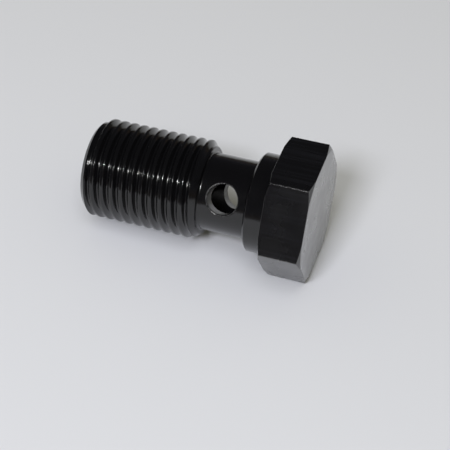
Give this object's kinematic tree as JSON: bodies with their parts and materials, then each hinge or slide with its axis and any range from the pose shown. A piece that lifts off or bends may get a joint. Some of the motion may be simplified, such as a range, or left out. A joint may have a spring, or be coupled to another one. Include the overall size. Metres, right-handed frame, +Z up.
{
  "type": "banjo bolt",
  "caption": "Hollow hexagon bolt with a reduced, cross-drilled neck and a fine thread. It clamps a ring fitting and carries fluid through its bore.",
  "frame": {"origin": "middle of the bottom of the bounding box, on the surface that the bolt lies on", "axes": "+X along the bolt from the thread to the head, tipped up by 3.5 degrees; +Z up from the surface; the near mouth of the cross hole looks to -Y and up"},
  "size_m": [0.0234, 0.0138, 0.0122],
  "materials": {
    "black_anodised": "black anodised over turned and milled surfaces, semi-gloss"
  },
  "bodies": {
    "root": {"banjo_bolt": "black_anodised"}
  },
  "joints": []
}
